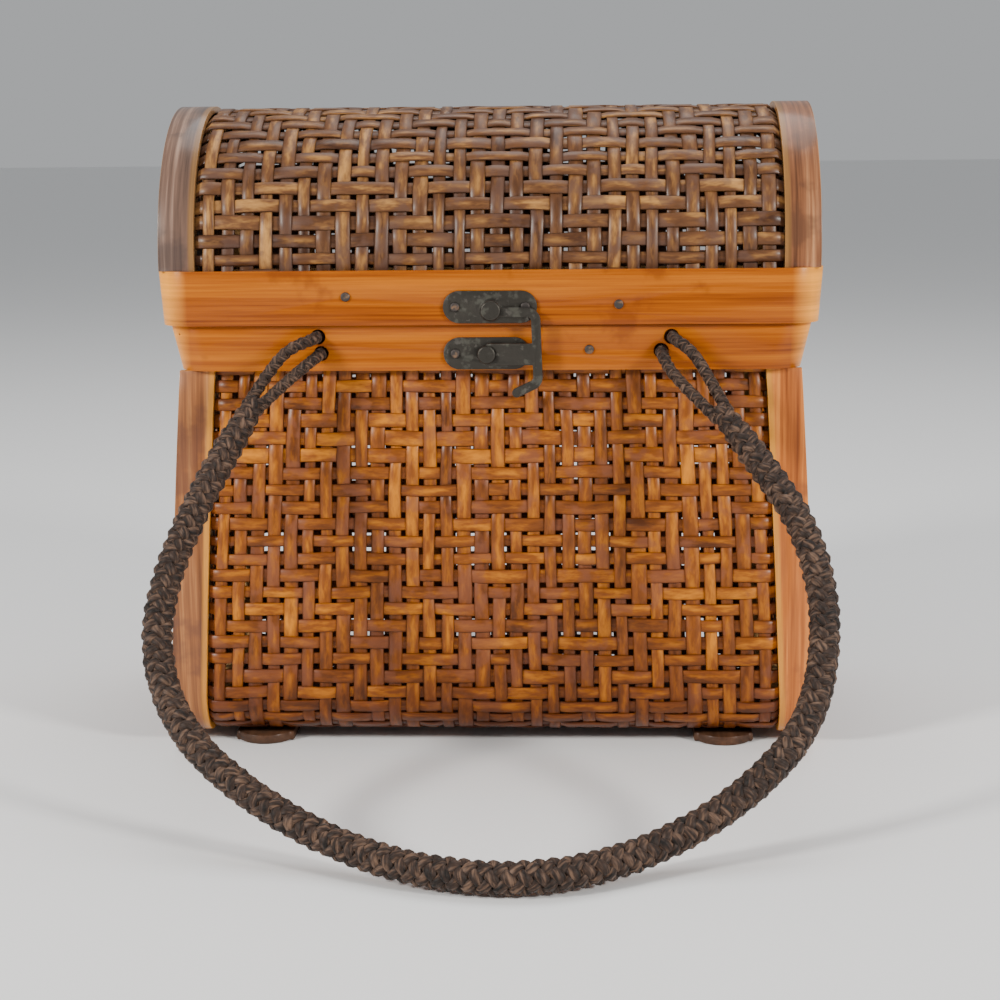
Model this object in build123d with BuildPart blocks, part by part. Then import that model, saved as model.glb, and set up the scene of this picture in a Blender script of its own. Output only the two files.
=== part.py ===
"""Woven bamboo box bag: a body and an arched lid of woven cane over bent slats, with a braided handle.

Millimetres. X runs to the bag's right, the front faces -Y and Z is up. The origin is on the floor under the
middle of the bag. The two runners stand on the floor.
"""
from build123d import *
from math import radians, tan
import os

os.makedirs("parts", exist_ok=True)

# ---- Overall sizes ----
width = 229.0  # across the lid hoop at its top edge
depth = 114.2  # front to back over the lid hoop
rim_height = 150.5  # floor to the rim of the body, where the lid rests
lid_wall_height = 20.6  # straight wall of the lid below its arch
runner_height = 3.4  # floor to the woven bottom

# ---- Bent slats and woven sheets ----
slat_thickness = 2.4
rib_width = 12.2
inner_slat_thickness = 2.0
weave_thickness = 2.6
weave_inset = 0.4  # woven sheet below the outer faces of the ribs
seam_gap = 1.6  # dark groove between a rib and the weave beside it
lap = 5.4  # woven sheet held under a rib
seat_gap = 0.2  # between bent pieces that lie on each other

# ---- Hoops ----
hoop_thickness = 2.6
hoop_corner_radius = 12.0
lid_hoop_height = 18.6
lid_hoop_slope = 1.3  # each end leans in by this, top to bottom
lid_gap = 0.2  # between the lid hoop and the body's rim
body_hoop_height = 15.5
body_hoop_slope = 3.6
hoop_step = 2.0  # body hoop set in from the lid hoop
inner_hoop_height = 13.0

# ---- Body shape ----
belly = 7.4  # front and back swell out by this below the hoop
belly_height = 50.0
bottom_radius = 20.0
body_flare = 6.8  # each end leans out by this, hoop to floor
rib_set_in = 0.3

# ---- Runners ----
runner_width = 21.0
runner_length = 104.0
runner_spacing = 165.0

# ---- Nails ----
nail_radius = 0.6
nail_head_radius = 1.6
nail_head_height = 0.7
nail_hole_gap = 0.05
nail_head_rounding = 0.7  # share of the head's height
lid_nail_places = [(-48.5, 10.0), (44.5, 7.0)]  # across, and up from the rim
body_nail_places = [(34.5, 8.5)]  # across, and down from the rim

# ---- Rear hinges ----
hinge_spacing = 164.0
hinge_width = 20.0
leaf_thickness = 0.8
leaf_height = 10.0
leaf_neck = 2.8  # knuckle centre to the near edge of a leaf
leaf_root = 1.0  # a knuckle's neck runs this far onto its leaf
knuckle_radius = 1.9
knuckle_gap = 0.2
hinge_set_off = 0.1  # knuckles behind the lid hoop
pin_radius = 0.8
pin_gap = 0.05
pin_head_radius = 1.3
pin_head_height = 0.6
leaf_nail_spacing = 12.0

# ---- Latch ----
latch_plate_thickness = 1.0
upper_plate_length = 32.0
upper_plate_width = 11.0
upper_plate_x = 0.8
upper_plate_lift = 6.4  # plate centre above the rim
lower_plate_length = 29.6
lower_plate_width = 11.0
lower_plate_x = -0.5
lower_plate_drop = 9.6  # plate centre below the rim
boss_radius = 3.8
boss_height = 0.8
pivot_x = 1.1
pivot_lift = 5.3
pivot_radius = 1.5
pivot_head_radius = 3.4
pivot_head_height = 1.1
hook_thickness = 1.5
hook_gap = 0.1
hook_eye_radius = 3.5
hook_arm_width = 3.2
hook_reach = 15.2  # pivot to the middle of the hanging arm
hook_drop = 24.6  # pivot to the bend at the arm's end
hook_start_drop = 0.6  # pivot to the middle of the level arm
hook_splay = 0.8  # the hanging arm leans out by this
hook_tail_length = 7.3
hook_tail_drop = 3.4
hook_bend_radius = 3.0
blade_width = 7.4
post_x = -0.4
post_radius = 1.8
post_head_radius = 3.1
post_head_height = 1.2
post_gap = 0.25
latch_nail_set_in = 4.0
head_rounding = 0.6  # share of a rivet head's height

# ---- Handle ----
braid_radius = 5.3
leg_radius = 2.2
leg_hole_radius = 2.6
knot_size = (10.0, 8.0, 11.4)
knot_fillet = 2.6
left_leg_holes = [(-58.5, 3.8), (-57.5, 9.5)]  # outer and inner leg: across, and down from the rim
right_leg_holes = [(62.5, 4.2), (59.0, 9.0)]
leg_clear = 4.9  # the legs run straight this far in front of the body hoop
drawn_rim_height = 150.5  # height of the rim that the points below are drawn for
loose_height = 100.0  # above the braid's lowest line, all points follow the rim from here up
# Points along the cords: across, out in front of the body hoop, and up from the floor
braid_points = [
    (-77.3, 19.4, 127),
    (-89.5, 37.9, 106),
    (-101.5, 60.4, 76.5),
    (-102.5, 76.9, 55),
    (-91.5, 93.4, 35),
    (-71, 106.9, 21),
    (-44, 117.9, 9),
    (-12.5, 134.9, 5.5),
    (22, 138.9, 5.5),
    (54, 118.4, 7),
    (81.5, 107.4, 20.5),
    (102, 90.9, 38),
    (108.5, 70.9, 64),
    (104.5, 52.9, 87),
    (93, 39.9, 105),
    (77.5, 21.9, 124),
]
left_outer_bend = [
    (-67, 11.4, 144),
    (-73.5, 14.4, 136.5),
    (-79.3, 18.5, 128.1),
]
left_inner_bend = [
    (-61.5, 11.4, 138),
    (-68.5, 16.2, 132.2),
    (-74.9, 19.6, 126.6),
]
right_outer_bend = [
    (69, 11.4, 142.5),
    (74, 15.9, 134.5),
    (79.2, 21.3, 125.7),
]
right_inner_bend = [
    (61, 11.4, 136.5),
    (68, 17.4, 129.3),
    (75.4, 22, 122.8),
]

# ---- Sizes that follow from the values above ----
end_set_in = hoop_thickness + seat_gap - rib_set_in  # woven ends behind the outer edges of the ribs
lid_hoop_half_depth = depth / 2
body_hoop_half_depth = lid_hoop_half_depth - hoop_step
lid_hoop_top = width / 2
lid_hoop_foot = lid_hoop_top - lid_hoop_slope
body_hoop_top = lid_hoop_foot - hoop_step
body_hoop_foot = body_hoop_top - body_hoop_slope
hoop_bottom = rim_height - body_hoop_height
lid_bottom = rim_height + lid_gap
lid_hoop_rim = lid_bottom + lid_hoop_height
body_half_depth = body_hoop_half_depth - hoop_thickness - seat_gap
lid_half_depth = lid_hoop_half_depth - hoop_thickness - seat_gap
body_half_width = body_hoop_foot - rib_set_in
lid_half_width = lid_hoop_foot - rib_set_in
spring_height = lid_bottom + lid_wall_height
bottom_height = runner_height - weave_inset
lap_inset = slat_thickness + seat_gap
inner_inset = lap_inset + weave_thickness + seat_gap
inner_hoop_depth = inner_inset + inner_slat_thickness
knot_face = body_half_depth - inner_hoop_depth


# ---- Outlines ----
def body_section(inset):
    """End view of the body, inset from the outer faces of its ribs and closed across the rim."""
    neck = body_half_depth - inset
    swell = body_half_depth + belly - inset
    floor = bottom_height + inset
    radius = bottom_radius - inset
    with BuildSketch(mode=Mode.PRIVATE) as section:
        with BuildLine():
            Line((0, rim_height), (neck, rim_height))
            Line((neck, rim_height), (neck, hoop_bottom))
            TangentArc((swell, belly_height), (neck, hoop_bottom), tangent=(0, 1))
            Line((swell, belly_height), (swell, floor + radius))
            RadiusArc((swell, floor + radius), (swell - radius, floor), radius)
            Line((swell - radius, floor), (0, floor))
            mirror(about=Plane.YZ)
        make_face()
    return section.sketch


def lid_section(inset):
    """End view of the lid, inset from the outer faces of its ribs and closed across its bottom."""
    radius = lid_half_depth - inset
    with BuildSketch(mode=Mode.PRIVATE) as section:
        with BuildLine():
            Line((-radius, lid_bottom), (-radius, spring_height))
            ThreePointArc((-radius, spring_height), (0, spring_height + radius), (radius, spring_height))
            Line((radius, spring_height), (radius, lid_bottom))
            Line((radius, lid_bottom), (-radius, lid_bottom))
        make_face()
    return section.sketch


def body_edge(set_in):
    """Front view of the body's right-hand edge, set in from the outer edge of its rib."""
    return [
        (body_half_width + body_flare - set_in, 0),
        (body_half_width - set_in, hoop_bottom),
        (body_half_width - set_in, rim_height + 1),
    ]


def lid_edge(set_in):
    """Front view of the lid's right-hand edge, set in from the outer edge of its rib."""
    return [(lid_half_width - set_in, lid_bottom - 1), (lid_half_width - set_in, spring_height + depth)]


def strip(edge, outer_set_in, inner_set_in):
    """Front view of an upright strip along the right-hand edge."""
    return edge(outer_set_in) + edge(inner_set_in)[::-1]


def span(edge, set_in):
    """Front view of all that lies between the two edges."""
    return edge(set_in) + [(-x, z) for x, z in edge(set_in)[::-1]]


# ---- Shapes that repeat ----
def bent_sheet(section, outer_inset, inner_inset, front_view):
    """Sheet or slat bent along the section, as wide as the front view shows."""
    with BuildPart(mode=Mode.PRIVATE) as bent:
        with BuildSketch(Plane.YZ):
            add(section(outer_inset))
            add(section(inner_inset), mode=Mode.SUBTRACT)
        extrude(amount=width, both=True)
        with BuildSketch(Plane.XZ):
            Polygon(*front_view, align=None)
        extrude(amount=depth, both=True, mode=Mode.INTERSECT)
    return bent.part


def flat_end(section, inset, front_view):
    """Right-hand end sheet that fills the section."""
    with BuildPart(mode=Mode.PRIVATE) as end:
        with BuildSketch(Plane.YZ):
            add(section(inset))
        extrude(amount=width)
        with BuildSketch(Plane.XZ):
            Polygon(*front_view, align=None)
        extrude(amount=depth, both=True, mode=Mode.INTERSECT)
    return end.part


def hoop_block(foot_half_width, top_half_width, half_depth, radius, foot, top):
    """Block with rounded corners whose two ends may lean."""
    with BuildPart(mode=Mode.PRIVATE) as block:
        with BuildSketch(Plane.XY.offset(foot)):
            RectangleRounded(2 * foot_half_width, 2 * half_depth, radius)
        with BuildSketch(Plane.XY.offset(top)):
            RectangleRounded(2 * top_half_width, 2 * half_depth, radius)
        loft(ruled=True)
    return block.part


def hoop_bore(foot_half_width, top_half_width, half_depth, foot, top, open_foot, open_top):
    """All the room inside a hoop, with everything between two heights beyond it."""
    inset = hoop_thickness + seat_gap / 2
    with BuildPart(mode=Mode.PRIVATE) as bore:
        add(
            hoop_block(
                foot_half_width - inset,
                top_half_width - inset,
                half_depth - inset,
                hoop_corner_radius - inset,
                foot,
                top,
            )
        )
        with BuildSketch(Plane.XY.offset(open_foot)):
            Rectangle(2 * width, 2 * depth)
        extrude(amount=open_top - open_foot)
    return bore.part


def on_front(half_depth, spots):
    """Places on a flat front face, each facing outwards."""
    return [Plane.XZ.offset(half_depth).location * Location((x, z, 0)) for x, z in spots]


def on_rear(half_depth, spots):
    """Places on a flat rear face, each facing outwards."""
    rear = Plane(origin=(0, half_depth, 0), x_dir=(-1, 0, 0), z_dir=(0, 1, 0))
    return [rear.location * Location((-x, z, 0)) for x, z in spots]


def in_front(points):
    """The cord's points, placed in front of the body hoop. The upper ones follow the rim."""
    rise = rim_height - drawn_rim_height
    shares = [min(1, (up - braid_radius) / loose_height) for x, out, up in points]
    return [(x, -body_hoop_half_depth - out, up + rise * share) for (x, out, up), share in zip(points, shares)]


def leg_route(hole, bend):
    """A leg's route from its knot, straight out through its hole, then round to the braid."""
    x, down = hole
    z = rim_height - down
    return [(x, -knot_face, z), (x, -body_hoop_half_depth - leg_clear, z)] + in_front(bend)


def cord_tube(name, route, radius):
    """Tube along straight runs joined by the largest arcs that two neighbouring runs allow."""
    points = [Vector(*point) for point in route]
    runs = [after - before for before, after in zip(points, points[1:])]
    radii = []
    for before, after in zip(runs, runs[1:]):
        shorter = min(before.length, after.length)
        radii.append(0.45 * shorter / tan(radians(before.get_angle(after) / 2)))
    with BuildPart(mode=Mode.PRIVATE) as tube:
        with BuildLine():
            path = FilletPolyline(*points, radius=radii)
        with BuildSketch(Plane(origin=path @ 0, z_dir=path % 0)) as cut:
            Circle(radius)
        sweep(path=path)
    expected = cut.sketch.area * path.length
    print(name, "length", round(path.length, 1), "volume / expected", round(tube.part.volume / expected, 4))
    print(name, "bend radii", [round(bend, 1) for bend in radii])
    return tube.part


# ---- Places of nails, hinges and latch ----
hinge_centres = [-hinge_spacing / 2, hinge_spacing / 2]
hinge_axis_y = lid_hoop_half_depth + hinge_set_off + knuckle_radius
hinge_axis_z = rim_height + lid_gap / 2
leaf_nail_x = [centre + side * leaf_nail_spacing / 2 for centre in hinge_centres for side in (-1, 1)]
upper_leaf_foot = hinge_axis_z + leaf_neck
lower_leaf_top = hinge_axis_z - leaf_neck
upper_leaf_nails = [(x, upper_leaf_foot + leaf_height / 2) for x in leaf_nail_x]
lower_leaf_nails = [(x, lower_leaf_top - leaf_height / 2) for x in leaf_nail_x]
upper_plate_z = rim_height + upper_plate_lift
lower_plate_z = rim_height - lower_plate_drop
pivot_z = rim_height + pivot_lift
upper_nail_reach = upper_plate_length / 2 - latch_nail_set_in
lower_nail_reach = lower_plate_length / 2 - latch_nail_set_in
upper_plate_nails = [(upper_plate_x + side * upper_nail_reach, upper_plate_z) for side in (-1, 1)]
lower_plate_nails = [(lower_plate_x + side * lower_nail_reach, lower_plate_z) for side in (-1, 1)]
hook_back = lid_hoop_half_depth + latch_plate_thickness + boss_height + hook_gap
hook_front = hook_back + hook_thickness
leg_spots = [(x, rim_height - down) for x, down in left_leg_holes + right_leg_holes]

lid_nail_centres = [(x, rim_height + up) for x, up in lid_nail_places]
body_nail_centres = [(x, rim_height - down) for x, down in body_nail_places]

lid_front_spots = on_front(lid_hoop_half_depth, lid_nail_centres)
lid_rear_spots = on_rear(lid_hoop_half_depth, lid_nail_centres)
body_front_spots = on_front(body_hoop_half_depth, body_nail_centres)
body_rear_spots = on_rear(body_hoop_half_depth, body_nail_centres)
upper_leaf_spots = on_rear(lid_hoop_half_depth + leaf_thickness, upper_leaf_nails)
lower_leaf_spots = on_rear(body_hoop_half_depth + leaf_thickness, lower_leaf_nails)
upper_plate_spots = on_front(lid_hoop_half_depth + latch_plate_thickness, upper_plate_nails)
lower_plate_spots = on_front(body_hoop_half_depth + latch_plate_thickness, lower_plate_nails)
nail_length = hoop_thickness - seat_gap
nail_hole_radius = nail_radius + nail_hole_gap

body_room = hoop_bore(
    body_hoop_foot, body_hoop_top, body_hoop_half_depth, hoop_bottom, rim_height, 0, hoop_bottom
)
lid_room = hoop_bore(
    lid_hoop_foot,
    lid_hoop_top,
    lid_hoop_half_depth,
    lid_bottom,
    lid_hoop_rim,
    lid_hoop_rim,
    lid_hoop_rim + depth,
)

# ---- Edges of the woven sheets, held under the ribs ----
body_lap = bent_sheet(
    body_section,
    lap_inset,
    lap_inset + weave_thickness,
    strip(body_edge, rib_width - lap, rib_width + seam_gap + weave_thickness),
)
lid_lap = bent_sheet(
    lid_section,
    lap_inset,
    lap_inset + weave_thickness,
    strip(lid_edge, rib_width - lap, rib_width + seam_gap + weave_thickness),
)

# ---- Body ----
with BuildPart() as body_panel:
    add(bent_sheet(body_section, weave_inset, weave_inset + weave_thickness, span(body_edge, rib_width + seam_gap)))
    add(body_lap)
    mirror(body_lap, about=Plane.YZ)
    add(body_room, mode=Mode.INTERSECT)
    with Locations(*on_front(body_hoop_half_depth, leg_spots), *on_rear(body_hoop_half_depth, leg_spots)):
        Cylinder(leg_hole_radius, 4 * inner_hoop_depth, mode=Mode.SUBTRACT)

with BuildPart() as body_end_right:
    outside = [
        body_edge(end_set_in)[0],
        (body_hoop_foot - hoop_thickness - seat_gap, hoop_bottom),
        (body_hoop_top - hoop_thickness - seat_gap, rim_height + 1),
    ]
    add(flat_end(body_section, lap_inset, outside + [(x - weave_thickness, z) for x, z in outside[::-1]]))
    add(body_room, mode=Mode.INTERSECT)

with BuildPart() as body_rib_right:
    add(bent_sheet(body_section, 0, slat_thickness, strip(body_edge, 0, rib_width)))
    add(body_room, mode=Mode.INTERSECT)

inner_rib_top = rim_height - inner_hoop_height - 2 * seat_gap
inner_strip_set_in = end_set_in + weave_thickness + seat_gap
with BuildPart() as body_inner_rib_right:
    add(bent_sheet(body_section, inner_inset, inner_hoop_depth, strip(body_edge, inner_strip_set_in, rib_width)))
    with Locations((0, 0, inner_rib_top)):
        Box(2 * width, 2 * depth, rim_height, align=(Align.CENTER, Align.CENTER, Align.MIN), mode=Mode.SUBTRACT)

with BuildPart() as body_end_left:
    mirror(body_end_right.part, about=Plane.YZ)
with BuildPart() as body_rib_left:
    mirror(body_rib_right.part, about=Plane.YZ)
with BuildPart() as body_inner_rib_left:
    mirror(body_inner_rib_right.part, about=Plane.YZ)

with BuildPart() as body_hoop:
    add(hoop_block(body_hoop_foot, body_hoop_top, body_hoop_half_depth, hoop_corner_radius, hoop_bottom, rim_height))
    add(
        hoop_block(
            body_hoop_foot - hoop_thickness,
            body_hoop_top - hoop_thickness,
            body_hoop_half_depth - hoop_thickness,
            hoop_corner_radius - hoop_thickness,
            hoop_bottom,
            rim_height,
        ),
        mode=Mode.SUBTRACT,
    )
    with Locations(*body_front_spots, *body_rear_spots, *lower_leaf_spots, *lower_plate_spots):
        Cylinder(nail_hole_radius, 4 * hoop_thickness, mode=Mode.SUBTRACT)
    with Locations(*on_front(body_hoop_half_depth, leg_spots), *on_rear(body_hoop_half_depth, leg_spots)):
        Cylinder(leg_hole_radius, 4 * hoop_thickness, mode=Mode.SUBTRACT)
    with Locations(*on_front(body_hoop_half_depth, [(post_x, lower_plate_z)])):
        Cylinder(post_radius + nail_hole_gap, 4 * hoop_thickness, mode=Mode.SUBTRACT)

inner_hoop_half_width = body_hoop_foot - hoop_thickness - seat_gap - weave_thickness - seat_gap
with BuildPart() as body_inner_hoop:
    with BuildSketch(Plane.XY.offset(rim_height - inner_hoop_height)):
        RectangleRounded(2 * inner_hoop_half_width, 2 * (body_half_depth - inner_inset), hoop_corner_radius / 2)
        RectangleRounded(
            2 * (inner_hoop_half_width - inner_slat_thickness),
            2 * knot_face,
            hoop_corner_radius / 2 - inner_slat_thickness,
            mode=Mode.SUBTRACT,
        )
    extrude(amount=inner_hoop_height)
    with Locations(*on_front(knot_face, leg_spots), *on_rear(knot_face, leg_spots)):
        Cylinder(leg_hole_radius, 4 * inner_slat_thickness, mode=Mode.SUBTRACT)

with BuildPart() as runner_right:
    with BuildSketch():
        with Locations((runner_spacing / 2, 0)):
            SlotOverall(runner_length, runner_width, rotation=90)
            Rectangle(runner_width, runner_length - runner_width / 2)
    extrude(amount=runner_height)

with BuildPart() as runner_left:
    mirror(runner_right.part, about=Plane.YZ)

# ---- Lid ----
with BuildPart() as lid_panel:
    add(bent_sheet(lid_section, weave_inset, weave_inset + weave_thickness, span(lid_edge, rib_width + seam_gap)))
    add(lid_lap)
    mirror(lid_lap, about=Plane.YZ)
    add(lid_room, mode=Mode.INTERSECT)

with BuildPart() as lid_end_right:
    add(flat_end(lid_section, lap_inset, strip(lid_edge, end_set_in, end_set_in + weave_thickness)))
    add(lid_room, mode=Mode.INTERSECT)

with BuildPart() as lid_rib_right:
    add(bent_sheet(lid_section, 0, slat_thickness, strip(lid_edge, 0, rib_width)))
    add(lid_room, mode=Mode.INTERSECT)

lid_inner_rib_foot = lid_bottom + inner_hoop_height + 2 * seat_gap
with BuildPart() as lid_inner_rib_right:
    add(bent_sheet(lid_section, inner_inset, inner_hoop_depth, strip(lid_edge, inner_strip_set_in, rib_width)))
    with Locations((0, 0, lid_inner_rib_foot)):
        Box(2 * width, 2 * depth, depth, align=(Align.CENTER, Align.CENTER, Align.MAX), mode=Mode.SUBTRACT)

with BuildPart() as lid_end_left:
    mirror(lid_end_right.part, about=Plane.YZ)
with BuildPart() as lid_rib_left:
    mirror(lid_rib_right.part, about=Plane.YZ)
with BuildPart() as lid_inner_rib_left:
    mirror(lid_inner_rib_right.part, about=Plane.YZ)

with BuildPart() as lid_hoop:
    add(
        hoop_block(
            lid_hoop_foot, lid_hoop_top, lid_hoop_half_depth, hoop_corner_radius, lid_bottom, lid_hoop_rim
        )
    )
    add(
        hoop_block(
            lid_hoop_foot - hoop_thickness,
            lid_hoop_top - hoop_thickness,
            lid_hoop_half_depth - hoop_thickness,
            hoop_corner_radius - hoop_thickness,
            lid_bottom,
            lid_hoop_rim,
        ),
        mode=Mode.SUBTRACT,
    )
    with Locations(*lid_front_spots, *lid_rear_spots, *upper_leaf_spots, *upper_plate_spots):
        Cylinder(nail_hole_radius, 4 * hoop_thickness, mode=Mode.SUBTRACT)
    with Locations(*on_front(lid_hoop_half_depth, [(pivot_x, pivot_z)])):
        Cylinder(pivot_radius + nail_hole_gap, 4 * hoop_thickness, mode=Mode.SUBTRACT)

lid_inner_half_width = lid_half_width - inner_strip_set_in
with BuildPart() as lid_inner_hoop:
    with BuildSketch(Plane.XY.offset(lid_bottom)):
        RectangleRounded(2 * lid_inner_half_width, 2 * (lid_half_depth - inner_inset), hoop_corner_radius / 2)
        RectangleRounded(
            2 * (lid_inner_half_width - inner_slat_thickness),
            2 * (lid_half_depth - inner_hoop_depth),
            hoop_corner_radius / 2 - inner_slat_thickness,
            mode=Mode.SUBTRACT,
        )
    extrude(amount=inner_hoop_height)

# ---- Nails ----
with BuildPart(mode=Mode.PRIVATE) as nail:
    Cylinder(nail_radius, nail_length, align=(Align.CENTER, Align.CENTER, Align.MAX))
    Cylinder(nail_head_radius, nail_head_height, align=(Align.CENTER, Align.CENTER, Align.MIN))
    fillet(faces().sort_by(Axis.Z)[-1].edges(), nail_head_rounding * nail_head_height)

with BuildPart() as lid_hoop_nails:
    with Locations(*lid_front_spots, *lid_rear_spots):
        add(nail.part)
with BuildPart() as body_hoop_nails:
    with Locations(*body_front_spots, *body_rear_spots):
        add(nail.part)
with BuildPart() as hinge_upper_nails:
    with Locations(*upper_leaf_spots):
        add(nail.part)
with BuildPart() as hinge_lower_nails:
    with Locations(*lower_leaf_spots):
        add(nail.part)
with BuildPart() as latch_upper_nails:
    with Locations(*upper_plate_spots):
        add(nail.part)
with BuildPart() as latch_lower_nails:
    with Locations(*lower_plate_spots):
        add(nail.part)

# ---- Rear hinges: the upper leaf has the two outer knuckles, the lower leaf the middle one ----
knuckle_length = hinge_width / 3


def hinge_leaf(centre, face, foot, outline, knuckles, spots):
    """Leaf plate on a rear face with its knuckles round the pin."""
    with BuildPart(mode=Mode.PRIVATE) as leaf:
        with BuildSketch(Plane.YZ.offset(centre)):
            with Locations((face, foot)):
                Rectangle(leaf_thickness, leaf_height, align=(Align.MIN, Align.MIN))
        extrude(amount=hinge_width / 2, both=True)
        for middle in knuckles:
            with BuildSketch(Plane.YZ.offset(centre + middle)):
                with Locations((hinge_axis_y, hinge_axis_z)):
                    Circle(knuckle_radius)
                Polygon(*outline, align=None)
            extrude(amount=(knuckle_length - knuckle_gap) / 2, both=True)
        with Locations(Location((centre, hinge_axis_y, hinge_axis_z), (0, 90, 0))):
            Cylinder(pin_radius + pin_gap, 2 * hinge_width, mode=Mode.SUBTRACT)
        with Locations(*spots):
            Cylinder(nail_hole_radius, 4 * leaf_thickness, mode=Mode.SUBTRACT)
    return leaf.part


upper_neck = [
    (lid_hoop_half_depth, upper_leaf_foot + leaf_root),
    (lid_hoop_half_depth + leaf_thickness, upper_leaf_foot + leaf_root),
    (hinge_axis_y + 0.7 * knuckle_radius, hinge_axis_z + 0.6 * knuckle_radius),
    (hinge_axis_y, hinge_axis_z),
    (hinge_axis_y - knuckle_radius, hinge_axis_z),
]
lower_neck = [
    (body_hoop_half_depth, lower_leaf_top - leaf_root),
    (body_hoop_half_depth + leaf_thickness, lower_leaf_top - leaf_root),
    (hinge_axis_y + 0.3 * knuckle_radius, hinge_axis_z - 0.9 * knuckle_radius),
    (hinge_axis_y, hinge_axis_z - 0.3 * knuckle_radius),
    (hinge_axis_y - 0.9 * knuckle_radius, hinge_axis_z - 0.7 * knuckle_radius),
    (body_hoop_half_depth, lower_leaf_top + leaf_root),
]
outer_knuckles = [-knuckle_length, knuckle_length]

with BuildPart() as hinge_left_upper_leaf:
    add(
        hinge_leaf(
            hinge_centres[0], lid_hoop_half_depth, upper_leaf_foot, upper_neck, outer_knuckles, upper_leaf_spots
        )
    )
with BuildPart() as hinge_right_upper_leaf:
    add(
        hinge_leaf(
            hinge_centres[1], lid_hoop_half_depth, upper_leaf_foot, upper_neck, outer_knuckles, upper_leaf_spots
        )
    )
lower_leaf_foot = lower_leaf_top - leaf_height
with BuildPart() as hinge_left_lower_leaf:
    add(hinge_leaf(hinge_centres[0], body_hoop_half_depth, lower_leaf_foot, lower_neck, [0], lower_leaf_spots))
with BuildPart() as hinge_right_lower_leaf:
    add(hinge_leaf(hinge_centres[1], body_hoop_half_depth, lower_leaf_foot, lower_neck, [0], lower_leaf_spots))


def hinge_pin(centre):
    """Pin with a small head at each end."""
    with BuildPart(mode=Mode.PRIVATE) as pin:
        with Locations(Location((centre, hinge_axis_y, hinge_axis_z), (0, 90, 0))):
            Cylinder(pin_radius, hinge_width + 2 * knuckle_gap)
        for side in (-1, 1):
            head = centre + side * (hinge_width / 2 + knuckle_gap + pin_head_height / 2)
            with Locations(Location((head, hinge_axis_y, hinge_axis_z), (0, 90, 0))):
                Cylinder(pin_head_radius, pin_head_height)
    return pin.part


with BuildPart() as hinge_left_pin:
    add(hinge_pin(hinge_centres[0]))
with BuildPart() as hinge_right_pin:
    add(hinge_pin(hinge_centres[1]))

# ---- Latch ----
with BuildPart() as latch_upper_plate:
    with BuildSketch(Plane.XZ.offset(lid_hoop_half_depth)):
        with Locations((upper_plate_x, upper_plate_z)):
            SlotOverall(upper_plate_length, upper_plate_width)
    extrude(amount=latch_plate_thickness)
    with BuildSketch(Plane.XZ.offset(lid_hoop_half_depth + latch_plate_thickness)):
        with Locations((pivot_x, pivot_z)):
            Circle(boss_radius)
    extrude(amount=boss_height)
    with Locations(*upper_plate_spots):
        Cylinder(nail_hole_radius, 4 * latch_plate_thickness, mode=Mode.SUBTRACT)
    with Locations(*on_front(lid_hoop_half_depth, [(pivot_x, pivot_z)])):
        Cylinder(pivot_radius + nail_hole_gap, 4 * hoop_thickness, mode=Mode.SUBTRACT)

with BuildPart() as latch_pivot:
    with BuildSketch(Plane.XZ.offset(lid_hoop_half_depth - hoop_thickness)):
        with Locations((pivot_x, pivot_z)):
            Circle(pivot_radius)
    extrude(amount=hook_front + hook_gap - lid_hoop_half_depth + hoop_thickness)
    with BuildSketch(Plane.XZ.offset(hook_front + hook_gap)):
        with Locations((pivot_x, pivot_z)):
            Circle(pivot_head_radius)
    extrude(amount=pivot_head_height)
    fillet(faces().sort_by(Axis.Y)[0].edges(), head_rounding * pivot_head_height)

with BuildPart() as latch_lower_plate:
    with BuildSketch(Plane.XZ.offset(body_hoop_half_depth)):
        with Locations((lower_plate_x, lower_plate_z)):
            SlotOverall(lower_plate_length, lower_plate_width)
    extrude(amount=latch_plate_thickness)
    with Locations(*lower_plate_spots):
        Cylinder(nail_hole_radius, 4 * latch_plate_thickness, mode=Mode.SUBTRACT)
    with Locations(*on_front(body_hoop_half_depth, [(post_x, lower_plate_z)])):
        Cylinder(post_radius + nail_hole_gap, 4 * hoop_thickness, mode=Mode.SUBTRACT)

with BuildPart() as latch_post:
    with BuildSketch(Plane.XZ.offset(body_hoop_half_depth - hoop_thickness)):
        with Locations((post_x, lower_plate_z)):
            Circle(post_radius)
    extrude(amount=hook_front + hook_gap - body_hoop_half_depth + hoop_thickness)
    with BuildSketch(Plane.XZ.offset(hook_front + hook_gap)):
        with Locations((post_x, lower_plate_z)):
            Circle(post_head_radius)
    extrude(amount=post_head_height)
    fillet(faces().sort_by(Axis.Y)[0].edges(), head_rounding * post_head_height)

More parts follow.
